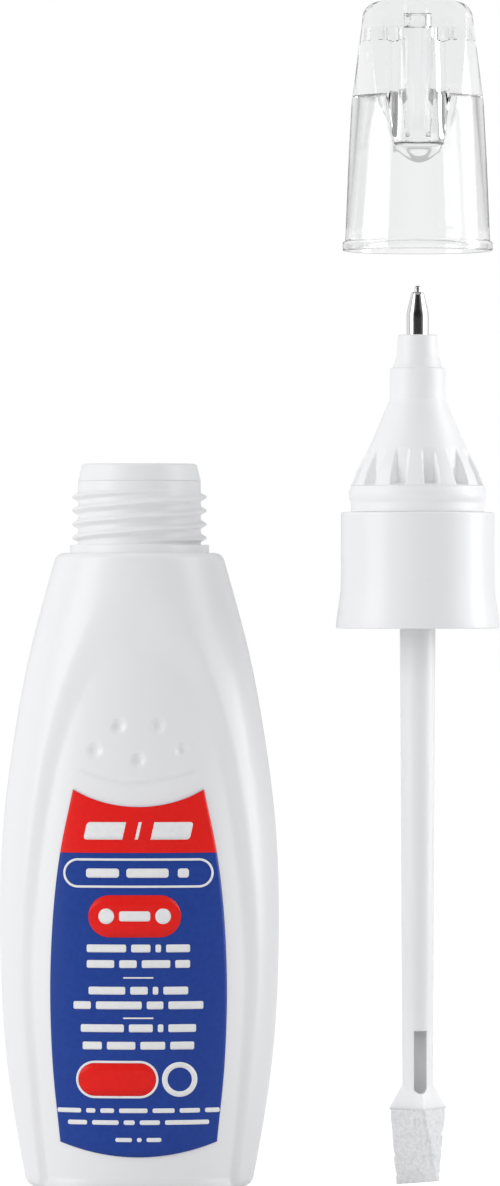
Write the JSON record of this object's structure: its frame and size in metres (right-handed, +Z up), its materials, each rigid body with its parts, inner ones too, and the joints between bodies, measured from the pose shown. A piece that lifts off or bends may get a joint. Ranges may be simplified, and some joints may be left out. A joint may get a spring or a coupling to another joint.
{
  "type": "correction pen",
  "caption": "Correction pen apart for filling: oval squeeze bottle with wiper neck, screw-on pen head with ribbed nose, sprung metal tip and foam wand, and a clear push-on overcap.",
  "frame": {"origin": "middle of the bottle's base, on the surface that the bottle stands on", "axes": "+Z up along the bottle's axis and out of its mouth; -Y out of the labelled front; +X to the viewer's right, towards the pen head that stands beside the bottle"},
  "size_m": [0.055, 0.0189, 0.1304],
  "materials": {
    "bottle_white": "blown polyethylene, soft gloss",
    "insert_natural": "soft natural polyethylene, satin",
    "ball_steel": "polished steel ball",
    "label_film": "blue printed gloss film",
    "label_red": "red gloss ink on film",
    "label_white": "white gloss ink on film",
    "cap_white": "moulded polypropylene, gloss",
    "nose_white": "moulded polypropylene, satin",
    "liner_foam": "foamed polyethylene disc, dull",
    "tip_metal": "drawn and polished nickel silver",
    "pin_metal": "ground stainless steel",
    "spring_metal": "bright spring wire",
    "retainer_plastic": "moulded acetal, dull",
    "wand_natural": "natural polyethylene tube, slightly clear, satin",
    "foam_white": "open-cell foam stiff with dried white fluid",
    "overcap_clear": "clear moulded styrene, high gloss"
  },
  "bodies": {
    "bottle": {"bottle_shell": "bottle_white", "wiper_insert": "insert_natural", "mixing_ball": "ball_steel", "front_label": "label_film", "label_red_print": "label_red", "label_white_print": "label_white"},
    "liner": {"seal_liner": "liner_foam"},
    "applicator": {"screw_cap": "cap_white", "nose_cone": "nose_white", "pen_tip": "tip_metal", "spring_retainer": "retainer_plastic", "valve_spring": "spring_metal", "wand_tube": "wand_natural", "foam_tip": "foam_white"},
    "needle": {"valve_pin": "pin_metal"},
    "cap": {"overcap": "overcap_clear"}
  },
  "joints": [
    {"name": "applicator_lift", "type": "slide", "parent": "bottle", "child": "liner", "axis": [0, 0, 1], "range_m": [0, 0.088]},
    {"name": "applicator_turn", "type": "hinge", "parent": "liner", "child": "applicator", "pos_m": [0.0306, 0, 0.0735], "axis": [0, 0, 1], "continuous": true},
    {"name": "needle_press", "type": "slide", "parent": "applicator", "child": "needle", "axis": [0, 0, -1], "range_m": [0, 0.0004], "stiffness_N_per_m": 300, "springref_m": -0.001, "deforming": ["valve_spring"]},
    {"name": "overcap_pull", "type": "slide", "parent": "applicator", "child": "cap", "axis": [0, 0, 1], "range_m": [-0.0286, 0]}
  ]
}
